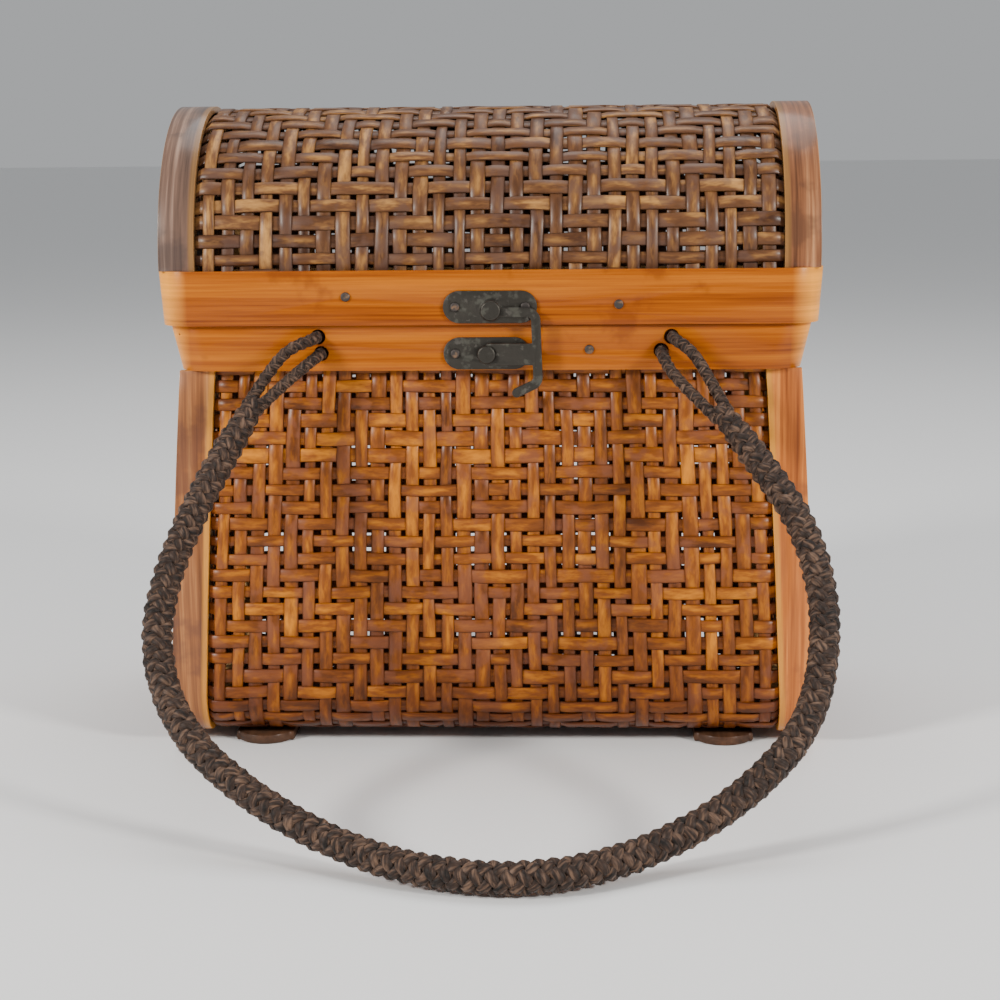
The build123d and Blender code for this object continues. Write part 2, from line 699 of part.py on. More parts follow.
post_dx = post_x - pivot_x
post_dz = lower_plate_z - pivot_z
post_reach = (post_dx**2 + post_dz**2) ** 0.5
jaw_gap = post_radius + post_gap
with BuildPart() as latch_hook:
    with BuildSketch(Plane(origin=(pivot_x, -hook_back, pivot_z), x_dir=(1, 0, 0), z_dir=(0, -1, 0))):
        with BuildLine():
            FilletPolyline(
                (0, -hook_start_drop),
                (hook_reach, -hook_start_drop),
                (hook_reach + hook_splay, -hook_drop),
                (hook_reach + hook_splay - hook_tail_length, -hook_drop - hook_tail_drop),
                radius=hook_bend_radius,
            )
            offset(amount=hook_arm_width / 2)
        make_face()
        Circle(hook_eye_radius)
        with Locations(((hook_reach + post_dx) / 2, post_dz)):
            Rectangle(hook_reach - post_dx, blade_width)
        with BuildSketch(mode=Mode.PRIVATE) as jaw:
            Circle(post_reach + jaw_gap)
            Circle(post_reach - jaw_gap, mode=Mode.SUBTRACT)
            with Locations((post_dx - width / 2, post_dz)):
                Rectangle(width, 4 * jaw_gap, mode=Mode.INTERSECT)
        add(jaw.sketch, mode=Mode.SUBTRACT)
        with Locations((post_dx, post_dz)):
            Circle(jaw_gap, mode=Mode.SUBTRACT)
        Circle(pivot_radius + nail_hole_gap, mode=Mode.SUBTRACT)
    extrude(amount=hook_thickness)

# ---- Handle: a braid that parts into two legs at each end, knotted inside the rim ----
with BuildPart() as handle_braid:
    add(cord_tube("braid", in_front(braid_points), braid_radius))
with BuildPart() as handle_leg_left_outer:
    add(cord_tube("left outer leg", leg_route(left_leg_holes[0], left_outer_bend), leg_radius))
with BuildPart() as handle_leg_left_inner:
    add(cord_tube("left inner leg", leg_route(left_leg_holes[1], left_inner_bend), leg_radius))
with BuildPart() as handle_leg_right_outer:
    add(cord_tube("right outer leg", leg_route(right_leg_holes[0], right_outer_bend), leg_radius))
with BuildPart() as handle_leg_right_inner:
    add(cord_tube("right inner leg", leg_route(right_leg_holes[1], right_inner_bend), leg_radius))


def handle_knot(holes):
    """Knot behind a pair of holes, flat where it pulls against the inner hoop."""
    (first_x, first_down), (second_x, second_down) = holes
    middle = ((first_x + second_x) / 2, -knot_face, rim_height - (first_down + second_down) / 2)
    with BuildPart(mode=Mode.PRIVATE) as knot:
        with Locations(middle):
            Box(*knot_size, align=(Align.CENTER, Align.MIN, Align.CENTER))
        fillet(edges().filter_by(Axis.Y), knot_fillet)
        fillet(faces().sort_by(Axis.Y)[-1].edges(), knot_fillet)
    return knot.part


with BuildPart() as handle_knot_left:
    add(handle_knot(left_leg_holes))
with BuildPart() as handle_knot_right:
    add(handle_knot(right_leg_holes))

# ---- Files ----
nodes = {
    "body_panel": body_panel,
    "body_end_left": body_end_left,
    "body_end_right": body_end_right,
    "body_rib_left": body_rib_left,
    "body_rib_right": body_rib_right,
    "body_inner_rib_left": body_inner_rib_left,
    "body_inner_rib_right": body_inner_rib_right,
    "body_hoop": body_hoop,
    "body_inner_hoop": body_inner_hoop,
    "runner_left": runner_left,
    "runner_right": runner_right,
    "lid_panel": lid_panel,
    "lid_end_left": lid_end_left,
    "lid_end_right": lid_end_right,
    "lid_rib_left": lid_rib_left,
    "lid_rib_right": lid_rib_right,
    "lid_inner_rib_left": lid_inner_rib_left,
    "lid_inner_rib_right": lid_inner_rib_right,
    "lid_hoop": lid_hoop,
    "lid_inner_hoop": lid_inner_hoop,
    "lid_hoop_nails": lid_hoop_nails,
    "body_hoop_nails": body_hoop_nails,
    "hinge_left_upper_leaf": hinge_left_upper_leaf,
    "hinge_left_lower_leaf": hinge_left_lower_leaf,
    "hinge_left_pin": hinge_left_pin,
    "hinge_right_upper_leaf": hinge_right_upper_leaf,
    "hinge_right_lower_leaf": hinge_right_lower_leaf,
    "hinge_right_pin": hinge_right_pin,
    "hinge_upper_nails": hinge_upper_nails,
    "hinge_lower_nails": hinge_lower_nails,
    "latch_upper_plate": latch_upper_plate,
    "latch_hook": latch_hook,
    "latch_pivot": latch_pivot,
    "latch_lower_plate": latch_lower_plate,
    "latch_post": latch_post,
    "latch_upper_nails": latch_upper_nails,
    "latch_lower_nails": latch_lower_nails,
    "handle_braid": handle_braid,
    "handle_leg_left_outer": handle_leg_left_outer,
    "handle_leg_left_inner": handle_leg_left_inner,
    "handle_leg_right_outer": handle_leg_right_outer,
    "handle_leg_right_inner": handle_leg_right_inner,
    "handle_knot_left": handle_knot_left,
    "handle_knot_right": handle_knot_right,
}
for node, piece in nodes.items():
    piece.part.label = node
    export_step(piece.part, f"parts/{node}.step")
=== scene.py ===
import math
import random

import bpy
import numpy as np
from mathutils import Matrix, Vector


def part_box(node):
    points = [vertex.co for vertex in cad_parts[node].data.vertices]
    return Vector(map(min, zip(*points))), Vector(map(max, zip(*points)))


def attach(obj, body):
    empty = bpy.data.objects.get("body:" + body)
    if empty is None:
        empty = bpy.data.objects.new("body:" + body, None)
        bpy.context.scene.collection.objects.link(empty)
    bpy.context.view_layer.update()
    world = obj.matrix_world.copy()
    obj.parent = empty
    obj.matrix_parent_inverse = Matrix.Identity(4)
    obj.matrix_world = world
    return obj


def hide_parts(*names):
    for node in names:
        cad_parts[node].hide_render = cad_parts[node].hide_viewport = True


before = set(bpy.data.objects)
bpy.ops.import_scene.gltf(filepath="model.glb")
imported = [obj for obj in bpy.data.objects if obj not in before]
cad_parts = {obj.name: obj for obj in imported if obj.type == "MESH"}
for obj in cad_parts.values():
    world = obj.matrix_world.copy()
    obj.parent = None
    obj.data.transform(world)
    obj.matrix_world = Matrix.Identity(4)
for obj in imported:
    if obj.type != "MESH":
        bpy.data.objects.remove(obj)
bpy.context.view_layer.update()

mm = 0.001

# ---- Sizes of the basket, taken from the frame or given once ----
hoop_thickness = 2.6 * mm
seat_gap = 0.2 * mm
rib_width = 12.2 * mm
rib_thickness = 2.4 * mm
seam_gap = 1.6 * mm
lap = 5.4 * mm
weave_inset = 0.4 * mm
weave_thickness = 2.6 * mm
end_set_in = 2.5 * mm
belly_height = 50.0 * mm
bottom_radius = 20.0 * mm

body_hoop_low, body_hoop_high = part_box("body_hoop")
lid_hoop_low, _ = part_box("lid_hoop")
body_rib_low, body_rib_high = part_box("body_rib_right")
_, lid_rib_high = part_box("lid_rib_right")
neck_height = body_hoop_low.z
rim_height = body_hoop_high.z
neck_half_depth = body_hoop_high.y - hoop_thickness - seat_gap
belly_half_depth = body_rib_high.y
bottom_height = body_rib_low.z
lid_bottom = lid_hoop_low.z
arch_radius = lid_rib_high.y
spring_height = lid_rib_high.z - arch_radius
lid_half_width = lid_rib_high.x
neck_set_in = 5.6 * mm
body_neck_half_width = lid_half_width - neck_set_in
body_foot_half_width = 114.1 * mm

# ---- Sizes of the cane ----
cane_width = 4.75 * mm
cane_thickness = 0.9 * mm
cane_wave = 0.4 * mm
cane_stray, stray_every = 0.45 * mm, 3.0  # how far a strip strays sideways, and over how many crossings
narrowest_cane, widest_cane = 0.84, 1.1  # shares of cane_width
width_wander, wander_every = 0.1, 2.5  # how far the width wanders along a strip, over how many crossings
column_turns, row_turns = 0.16, 0.4  # chances that the twill turns back at a column or a row
level_share = 0.1  # how much of a crossing a strip stays level on each side, before it dips
bulge_height = 0.14  # how far a strip bulges between two crossings that it lies over
body_columns = 32
body_rows = 66
lid_columns = 30
lid_rows = 33
end_pitch = 6.2 * mm
steps_per_crossing = 4
smallest_step = 0.01 * mm
outline_step = 0.5 * mm


# ---- Camera, light and floor ----
def make_camera():
    """Camera a little above and right of the bag's middle, looking slightly down."""
    camera = bpy.data.objects.new("camera", bpy.data.cameras.new("camera"))
    bpy.context.scene.collection.objects.link(camera)
    camera.data.sensor_width = 36.0
    camera.data.lens = 69.3
    camera.location = (0.0308, -0.7116, 0.2115)
    turn, look_down, roll = 2.38, 10.5, -0.53
    turned = Matrix.Rotation(math.radians(turn), 4, "Z")
    tipped = Matrix.Rotation(math.radians(90 - look_down), 4, "X")
    rolled = Matrix.Rotation(math.radians(roll), 4, "Z")
    camera.rotation_mode = "QUATERNION"
    camera.rotation_quaternion = (turned @ tipped @ rolled).to_quaternion()
    bpy.context.scene.camera = camera


def soft_light(name, place, size, power, colour):
    """Square area light aimed at the middle of the bag."""
    light = bpy.data.objects.new(name, bpy.data.lights.new(name, "AREA"))
    bpy.context.scene.collection.objects.link(light)
    light.data.size = size
    light.data.energy = power
    light.data.color = colour
    light.location = place
    aim = Vector((0, 0, 0.1)) - Vector(place)
    light.rotation_mode = "QUATERNION"
    light.rotation_quaternion = aim.to_track_quat("-Z", "Y")


def make_stage():
    """Pale floor, pale surroundings and soft lamps on both sides."""
    bpy.ops.mesh.primitive_plane_add(size=40, location=(0, 0, 0))
    floor = bpy.context.object
    floor.name = "floor"
    material = bpy.data.materials.new("floor_paper")
    material.use_nodes = True
    shader = material.node_tree.nodes["Principled BSDF"]
    shader.inputs["Base Color"].default_value = (0.82, 0.82, 0.82, 1)
    shader.inputs["Roughness"].default_value = 0.7
    floor.data.materials.append(material)
    world = bpy.data.worlds.new("studio")
    world.use_nodes = True
    background = world.node_tree.nodes["Background"]
    background.inputs["Color"].default_value = (0.86, 0.88, 0.9, 1)
    background.inputs["Strength"].default_value = 0.5
    bpy.context.scene.world = world
    soft_light("left_lamp", (-1.05, -0.85, 0.7), 0.24, 20, (1.0, 0.98, 0.94))
    soft_light("right_lamp", (1.1, -0.85, 0.65), 0.24, 18, (1.0, 0.98, 0.94))
    soft_light("top_lamp", (0.1, 0.35, 1.3), 0.9, 9, (1.0, 1.0, 1.0))


make_camera()
make_stage()


# ---- Cord lines ----
def in_metres(points):
    return [Vector(point) * mm for point in points]


def smooth_line(name, points):
    """Points down the middle of a cord, read from the spline that its route controls."""
    curve = bpy.data.curves.new(name, "CURVE")
    curve.dimensions = "3D"
    curve.resolution_u = 24
    spline = curve.splines.new("NURBS")
    spline.points.add(len(points) - 1)
    for control, point in zip(spline.points, points):
        control.co = (*point, 1)
    spline.order_u = 3
    spline.use_endpoint_u = True
    holder = bpy.data.objects.new(name, curve)
    mesh = bpy.data.meshes.new_from_object(holder)
    line = np.array([vertex.co for vertex in mesh.vertices])
    bpy.data.meshes.remove(mesh)
    bpy.data.curves.remove(curve)
    return line


braid_route = in_metres(
    [
        (-77.3, -74.5, 127),
        (-89.5, -93, 106),
        (-101.5, -115.5, 76.5),
        (-102.5, -132, 55),
        (-91.5, -148.5, 35),
        (-71, -162, 21),
        (-44, -173, 9),
        (-12.5, -190, 5.5),
        (22, -194, 5.5),
        (54, -173.5, 7),
        (81.5, -162.5, 20.5),
        (102, -146, 38),
        (108.5, -126, 64),
        (104.5, -108, 87),
        (93, -95, 105),
        (77.5, -77, 124),
    ]
)
leg_routes = {
    "left_outer": [
        (-58.5, -44.9, 146.7),
        (-58.5, -60, 146.7),
        (-67, -66.5, 144),
        (-73.5, -69.5, 136.5),
        (-80.3, -75.6, 125.6),
    ],
    "left_inner": [
        (-57.5, -44.9, 141),
        (-57.5, -60, 141),
        (-61.5, -66.5, 138),
        (-68.5, -71.3, 132.2),
        (-76.9, -76.7, 124.4),
    ],
    "right_outer": [
        (62.5, -44.9, 146.3),
        (62.5, -60, 146.3),
        (69, -66.5, 142.5),
        (74, -71, 134.5),
        (80.2, -78.2, 123.4),
    ],
    "right_inner": [
        (59, -44.9, 141.5),
        (59, -60, 141.5),
        (61, -66.5, 136.5),
        (68, -72.5, 129.3),
        (76.9, -78.6, 120.9),
    ],
}
braid_thickness = 10.6 * mm


# ---- Meshes of strands ----
def smooth_step(value):
    value = np.clip(value, 0, 1)
    return value * value * (3 - 2 * value)


def strand(points, outward, half_width, half_thickness, tone, lift, corners=6):
    """One strand: where its rings go, how wide and thick they are, and what its finish reads."""
    count = len(points)
    return {
        "points": np.asarray(points, float),
        "outward": np.broadcast_to(np.asarray(outward, float), (count, 3)),
        "half_width": np.broadcast_to(half_width, count),
        "half_thickness": np.broadcast_to(half_thickness, count),
        "tone": tone,
        "lift": np.broadcast_to(lift, count),
        "corners": corners,
    }


def ring_shape(corners):
    """Corners of a strand's cut, across and outward. Six corners are a flat strip with bevelled sides."""
    if corners == 6:
        flat = 0.86
        return np.array([(1, 0), (flat, 1), (-flat, 1), (-1, 0), (-flat, -1), (flat, -1)], float)
    angles = np.arange(corners) * 2 * math.pi / corners
    return np.stack([np.cos(angles), np.sin(angles)], axis=1)


def strand_mesh(name, strands):
    """One mesh of closed strands, with their tone and lift as attributes and their grain as UVs."""
    places, faces, tones, lifts, grains = [], [], [], [], []
    start = 0
    for one in strands:
        points, outward = one["points"], one["outward"]
        count, corners = len(points), one["corners"]
        tangent = np.gradient(points, axis=0)
        tangent /= np.linalg.norm(tangent, axis=1)[:, None]
        across = np.cross(tangent, outward)
        across /= np.linalg.norm(across, axis=1)[:, None]
        up = np.cross(across, tangent)
        shape = ring_shape(corners)
        rings = (
            points[:, None]
            + across[:, None] * (shape[:, 0][None, :, None] * one["half_width"][:, None, None])
            + up[:, None] * (shape[:, 1][None, :, None] * one["half_thickness"][:, None, None])
        )
        places.append(rings.reshape(-1, 3))
        along = np.concatenate([[0], np.cumsum(np.linalg.norm(np.diff(points, axis=0), axis=1))])
        tones.append(np.full(count * corners, one["tone"]))
        lifts.append(np.repeat(one["lift"], corners))
        side = np.arange(corners) / corners
        grains.append(np.stack([np.repeat(along, corners), np.tile(side, count)], axis=1))
        first = start + np.arange(count - 1)[:, None] * corners + np.arange(corners)[None]
        after = start + np.arange(count - 1)[:, None] * corners + (np.arange(corners)[None] + 1) % corners
        quads = np.stack([first, after, after + corners, first + corners], axis=-1).reshape(-1, 4)
        faces += quads.tolist()
        faces.append((start + np.arange(corners))[::-1].tolist())
        faces.append((start + (count - 1) * corners + np.arange(corners)).tolist())
        start += count * corners
    mesh = bpy.data.meshes.new(name)
    mesh.from_pydata(np.concatenate(places), [], faces)
    for label, values in (("tone", tones), ("lift", lifts)):
        attribute = mesh.attributes.new(label, "FLOAT", "POINT")
        attribute.data.foreach_set("value", np.concatenate(values).astype(np.float32))
    grain = np.concatenate(grains).astype(np.float32)
    owner = np.zeros(len(mesh.loops), np.int32)
    mesh.loops.foreach_get("vertex_index", owner)
    layer = mesh.uv_layers.new(name="grain")
    layer.data.foreach_set("uv", grain[owner].ravel())
    mesh.polygons.foreach_set("use_smooth", np.ones(len(mesh.polygons), bool))
    mesh.update()
    piece = bpy.data.objects.new(name, mesh)
    bpy.context.scene.collection.objects.link(piece)
    return piece


# ---- Woven cane ----
def twill(columns, rows, chance):
    """For each crossing, whether the upright lies over: an uneven two-over-two twill."""

    def walk(count, turn_back):
        place, step, run, places = 0, 1, 0, []
        for _ in range(count):
            places.append(place)
            run += 1
            if run > 2 and chance.random() < turn_back:
                step, run = -step, 0
            place += step
        return np.array(places)

    across, down = walk(columns, column_turns), walk(rows, row_turns)
    return ((across[None] + down[:, None]) % 4) < 2


def waves(over):
    """Height of a strand from -1 to 1 at each station along it, one crossing longer at both ends."""
    level = np.where(np.asarray(over), 1.0, -1.0)
    level = np.concatenate([level[:1], level, level[-1:]])
    at = np.arange(0, len(level) - 1 + 1e-9, 1 / steps_per_crossing)
    left = np.minimum(at.astype(int), len(level) - 2)
    part = at - left
    low, high = level[left], level[left + 1]
    blend = smooth_step((part - level_share) / (1 - 2 * level_share))
    bulge = bulge_height * np.sin(math.pi * part) * ((low > 0) & (high > 0))
    return at - 1, low + (high - low) * blend + bulge


def wander(chance, at, reach, every=5.0):
    """A slow random wander along a strand."""
    count = int(max(at) / every) + 4
    knots = np.array([chance.uniform(-reach, reach) for _ in range(count)])
    return np.interp(at / every + 1, np.arange(count), knots)


def uneven_cane(chance, at):
    """How far a strip of cane strays sideways, half its width along its length, and its tone."""
    sideways = wander(chance, at, cane_stray, stray_every)
    width = chance.uniform(narrowest_cane, widest_cane)
    half_width = 0.5 * cane_width * (width + wander(chance, at, width_wander, wander_every))
    return sideways, half_width, chance.random()


def weave(name, columns, rows, seed, place, uprights=True, cross=True):
    """One piece of a woven sheet's strands: the uprights, the crosswise ones or both.

    place(column, row, height, sideways, upright) gives points, outward directions and which points are kept.
    """
    chance = random.Random(seed)
    over = twill(columns, rows, chance)
    strands = []

    def add_strand(number, lies_over, upright):
        at, wave = waves(lies_over)
        sideways, half_width, tone = uneven_cane(chance, at)
        if not (uprights if upright else cross):
            return
        fixed = np.full(len(at), number, float)
        column, row = (fixed, at) if upright else (at, fixed)
        points, outward, kept = place(column, row, wave * cane_wave, sideways, upright)
        lift = (wave[kept] + 1) / 2
        strands.append(strand(points[kept], outward[kept], half_width[kept], cane_thickness / 2, tone, lift))

    for column in range(columns):
        add_strand(column, over[:, column], True)
    for row in range(rows):
        add_strand(row, ~over[row], False)
    return strand_mesh(name, strands)


# ---- Sections of the body and the lid ----
def outline(stretches):
    """Points and outward directions along straight and round stretches, and how far along each point is."""
    points, outward = [], []
    for kind, *sizes in stretches:
        if kind == "line":
            start, end = (np.array(size) for size in sizes)
            count = max(2, int(np.linalg.norm(end - start) / outline_step))
            share = np.linspace(0, 1, count)[:, None]
            run = (end - start) / np.linalg.norm(end - start)
            points.append(start + (end - start) * share)
            outward.append(np.tile([run[1], -run[0]], (count, 1)))
        else:
            centre, radius, first, last = sizes
            count = max(8, int(radius * abs(last - first) / outline_step))
            angle = np.linspace(first, last, count)
            facing = np.stack([np.cos(angle), np.sin(angle)], axis=1)
            points.append(np.array(centre) + radius * facing)
            outward.append(facing)
    points, outward = np.concatenate(points), np.concatenate(outward)
    along = np.concatenate([[0], np.cumsum(np.linalg.norm(np.diff(points, axis=0), axis=1))])
    return points, outward, along


def body_outline():
    """Front rim, down the belly, along the bottom and up to the rear rim, as (y, z)."""
    swell = belly_half_depth - neck_half_depth
    fall = neck_height - belly_height
    radius = (swell**2 + fall**2) / (2 * swell)
    bend = math.asin(fall / radius)
    belly = belly_half_depth - radius
    corner = belly_half_depth - bottom_radius
    corner_height = bottom_height + bottom_radius
    half_turn = math.pi
    return outline(
        [
            ("line", (-neck_half_depth, rim_height), (-neck_half_depth, neck_height)),
            ("arc", (-belly, belly_height), radius, half_turn - bend, half_turn),
            ("line", (-belly_half_depth, belly_height), (-belly_half_depth, corner_height)),
            ("arc", (-corner, corner_height), bottom_radius, half_turn, 1.5 * half_turn),
            ("line", (-corner, bottom_height), (corner, bottom_height)),
            ("arc", (corner, corner_height), bottom_radius, -0.5 * half_turn, 0),
            ("line", (belly_half_depth, corner_height), (belly_half_depth, belly_height)),
            ("arc", (belly, belly_height), radius, 0, bend),
            ("line", (neck_half_depth, neck_height), (neck_half_depth, rim_height)),
        ]
    )


def lid_outline():
    """Rear edge, over the arch and down to the front edge, as (y, z)."""
    return outline(
        [
            ("line", (arch_radius, lid_bottom), (arch_radius, spring_height)),
            ("arc", (0, spring_height), arch_radius, 0, math.pi),
            ("line", (-arch_radius, spring_height), (-arch_radius, lid_bottom)),
        ]
    )


def body_edge_at(z):
    """Outer edge of the body's ribs at a height."""
    narrowing = body_foot_half_width - body_neck_half_width
    return body_foot_half_width - narrowing * np.minimum(z / neck_height, 1)


def lid_edge_at(z):
    """Outer edge of the lid's ribs, the same at every height."""
    return lid_half_width + 0 * z


def wrapped(section, edge_at, columns, rows):
    """Place function of a sheet bent along a section, tucked under the ribs at both edges."""
    points, outward, along = section
    pitch = along[-1] / rows
    middle = weave_inset + weave_thickness / 2
    tuck_depth = rib_thickness + weave_thickness / 2 + seat_gap - middle
    tuck_run = 1.0 * mm
    tuck_flattening = 0.6
    end_gap = 0.3 * mm

    def place(column, row, height, sideways, upright):
        at = (row + 0.5) * pitch + (0 if upright else sideways)
        at = np.clip(at, end_gap, along[-1] - end_gap)
        y, z = (np.interp(at, along, points[:, k]) for k in (0, 1))
        facing = np.stack([np.interp(at, along, outward[:, k]) for k in (0, 1)], axis=1)
        facing /= np.linalg.norm(facing, axis=1)[:, None]
        half = edge_at(z) - rib_width - seam_gap
        x = half * ((column + 0.5) / columns * 2 - 1) + (sideways if upright else 0)
        if not upright:
            last = half * (1 - 1 / columns)
            reach = half + seam_gap + lap
            beyond = np.abs(column - (columns - 1) / 2) - (columns - 1) / 2
            x = np.where(beyond > 0.01, np.sign(x) * (last + beyond * (reach - last)), x)
        tuck = smooth_step((np.abs(x) - half + tuck_run) / (seam_gap + tuck_run)) * tuck_depth
        height = height * (1 - tuck_flattening * (tuck > 0.5 * tuck_depth)) - middle - tuck
        y, z = y + facing[:, 0] * height, z + facing[:, 1] * height
        directions = np.stack([0 * x, facing[:, 0], facing[:, 1]], axis=1)
        return np.stack([x, y, z], axis=1), directions, np.ones(len(x), bool)

    return place


def end_sheet(side, columns, rows, low, high, face_at, depth_at, floor_at, ceiling_at, leaning):
    """Place function of a woven end. Its uprights lean with the outline between the two heights of leaning.

    face_at gives how far out its face is at a height, and the other functions where its strands stop.
    """
    pitch = (high - low) / rows
    step_y = 2 * depth_at(high) / columns / steps_per_crossing

    def place(column, row, height, sideways, upright):
        z = low + (row + 0.5) * pitch + (0 if upright else sideways)
        share = (column + 0.5) / columns * 2 - 1
        y = share * depth_at(np.clip(z, *leaning)) + (sideways if upright else 0)
        if upright:
            bottom, top = floor_at(y), ceiling_at(y)
            step = pitch / steps_per_crossing
            kept = (z > bottom - step) & (z < top + step)
            z = np.clip(z, bottom, top)
        else:
            limit = depth_at(z)
            kept = np.abs(y) < limit + step_y
            y = np.clip(y, -limit, limit)
        x = side * (face_at(z) - weave_thickness / 2 + height)
        moved = np.concatenate([[1], np.abs(np.diff(y)) + np.abs(np.diff(z))])
        kept = kept & (moved > smallest_step)
        return np.stack([x, y, z], axis=1), np.tile([side, 0.0, 0.0], (len(x), 1)), kept

    return place


# ---- Woven sheets of the body and the lid ----
def finish_piece(piece, body, slot, material, *nodes):
    """Puts a piece on its body, in its finish, in the place of its CAD nodes."""
    if material is not None:
        piece.data.materials.append(material)
    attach(piece, body)
    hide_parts(*nodes)


end_inset = rib_thickness + seat_gap
body_end_heights = [0, neck_height, rim_height]
body_end_faces = [111.6 * mm, 104.8 * mm, 108.4 * mm]
body_corner = belly_half_depth - bottom_radius
body_corner_height = bottom_height + bottom_radius


def weave_wraps():
    """The sheets that wrap the body and arch over the lid."""
    body_place = wrapped(body_outline(), body_edge_at, body_columns, body_rows)
    lid_place = wrapped(lid_outline(), lid_edge_at, lid_columns, lid_rows)
    # The body's sheet is two pieces. One seed for both makes them cross over and under each other.
    body_seed, lid_seed = 11, 5
    uprights = weave("body_weave_uprights", body_columns, body_rows, body_seed, body_place, cross=False)
    crosswise = weave("body_weave_crosswise", body_columns, body_rows, body_seed, body_place, uprights=False)
    finish_piece(uprights, "body", "body_cane", body_cane, "body_panel")
    finish_piece(crosswise, "body", "body_cane", body_cane, "body_panel")
    arch = weave("lid_weave", lid_columns, lid_rows, lid_seed, lid_place)
    finish_piece(arch, "lid", "lid_cane", lid_cane, "lid_panel")


def weave_ends():
    """The woven ends, cut to the outline between the ribs."""
    points, outward, _ = body_outline()
    inner = points - outward * end_inset
    rear = inner[(inner[:, 0] > 0) & (points[:, 1] > bottom_height + smallest_step)]
    corner_cut = bottom_radius - end_inset

    def body_depth(z):
        return np.interp(z, rear[:, 1], rear[:, 0])

    def body_floor(y):
        past = np.clip((np.abs(y) - body_corner) / corner_cut, 0, 1)
        return body_corner_height - corner_cut * np.sqrt(1 - past**2)

    def body_face(z):
        return np.interp(z, body_end_heights, body_end_faces)

    def lid_depth(z):
        past = np.clip((z - spring_height) / (arch_radius - end_inset), 0, 1)
        return (arch_radius - end_inset) * np.sqrt(1 - past**2)

    def lid_ceiling(y):
        return spring_height + np.sqrt(np.maximum((arch_radius - end_inset) ** 2 - y**2, 0))

    low = bottom_height + end_inset
    rows = round((rim_height - low) / end_pitch)
    columns = round(2 * neck_half_depth / end_pitch)
    # The lid's ends are woven to just past the arch, and cut to it.
    woven_wall = 21 * mm
    top = lid_bottom + woven_wall + arch_radius - end_inset
    lid_end_rows = round((top - lid_bottom) / end_pitch)
    for side, name in ((-1, "left"), (1, "right")):
        place = end_sheet(
            side,
            columns,
            rows,
            low,
            rim_height,
            body_face,
            body_depth,
            body_floor,
            lambda y: rim_height + 0 * y,
            (body_corner_height, rim_height),
        )
        end = weave("body_end_weave_" + name, columns, rows, 20 + side, place)
        finish_piece(end, "body", "body_cane", body_cane, "body_end_" + name)
        place = end_sheet(
            side,
            columns,
            lid_end_rows,
            lid_bottom,
            top,
            lambda z: lid_half_width - end_set_in + 0 * z,
            lid_depth,
            lambda y: lid_bottom + 0 * y,
            lid_ceiling,
            (lid_bottom, spring_height),
        )
        end = weave("lid_end_weave_" + name, columns, lid_end_rows, 30 + side, place)
        finish_piece(end, "lid", "lid_cane", lid_cane, "lid_end_" + name)


# ---- Braided handle ----
def carried_frames(line, step):
    """A line again with evenly spaced points, how far along each one is, and two ways across at each."""
    along = np.concatenate([[0], np.cumsum(np.linalg.norm(np.diff(line, axis=0), axis=1))])
    at = np.linspace(0, along[-1], max(8, round(along[-1] / step)))
    points = np.stack([np.interp(at, along, line[:, k]) for k in range(3)], axis=1)
    tangent = np.gradient(points, axis=0)
    tangent /= np.linalg.norm(tangent, axis=1)[:, None]
    side = np.cross(tangent[0], [0, 0, 1.0])
    sides = []
    for way in tangent:
        side = side - way * (side @ way)
        side /= np.linalg.norm(side)
        sides.append(side)
    sides = np.array(sides)
    return at, points, sides, np.cross(tangent, sides)


def round_braid(name, line, radius, pitch, each_way, seed, thin_end=1.0):
    """Strands that turn both ways round a line, as many each way, over and under each other in turn.

    The braid thins towards both ends, to thin_end of its radius. Fewer strands are wider and thicker.
    """
    chance = random.Random(seed)
    steps_per_pitch = 16
    at, points, side, up = carried_frames(line, pitch / steps_per_pitch)
    from_end = np.minimum(at, at[-1] - at)
    size = radius * (thin_end + (1 - thin_end) * smooth_step(from_end / (4 * radius)))
    turn = math.pi * at / pitch
    over = np.cos(each_way * turn)
    thick_share, wide_share = (0.4, 0.53) if each_way == 2 else (0.29, 0.36)
    outer_share, wave_share = 0.84, 0.14
    reach_wander, thick_wander = 0.02, 0.05
    strands = []
    for way in (1, -1):
        for number in range(each_way):
            angle = way * turn + 2 * math.pi * number / each_way
            facing = side * np.cos(angle)[:, None] + up * np.sin(angle)[:, None]
            reach = size * (outer_share - thick_share + wave_share * way * over)
            reach = reach + wander(chance, at / mm, reach_wander * radius)
            thick = size * thick_share * (1 + wander(chance, at / mm, thick_wander))
            lift = 0.5 + 0.5 * way * over
            centre = points + facing * reach[:, None]
            strands.append(strand(centre, facing, size * wide_share, thick, chance.random(), lift, corners=8))
    return strand_mesh(name, strands)


def handle_knot(name, low, high):
    """Cord tied in a trefoil over and over itself, filling the box of its CAD node."""
    centre, half = (low + high) / 2, (high - low) / 2
    cord = 2.1 * mm
    widest, tallest = 2.76, 3.0
    turn = np.linspace(0, 2 * math.pi, 97)
    x = (np.sin(turn) + 2 * np.sin(2 * turn)) / widest
    z = (np.cos(turn) - 2 * np.cos(2 * turn)) / tallest
    y = -np.sin(3 * turn)
    room = np.array(half) - cord
    points = np.array(centre) + np.stack([x * room[0], y * room[1], z * room[2]], axis=1)
    tone, lift = 0.4, 0.6
    return strand_mesh(name, [strand(points, (0, 1.0, 0), cord, cord, tone, lift + 0 * turn, corners=10)])


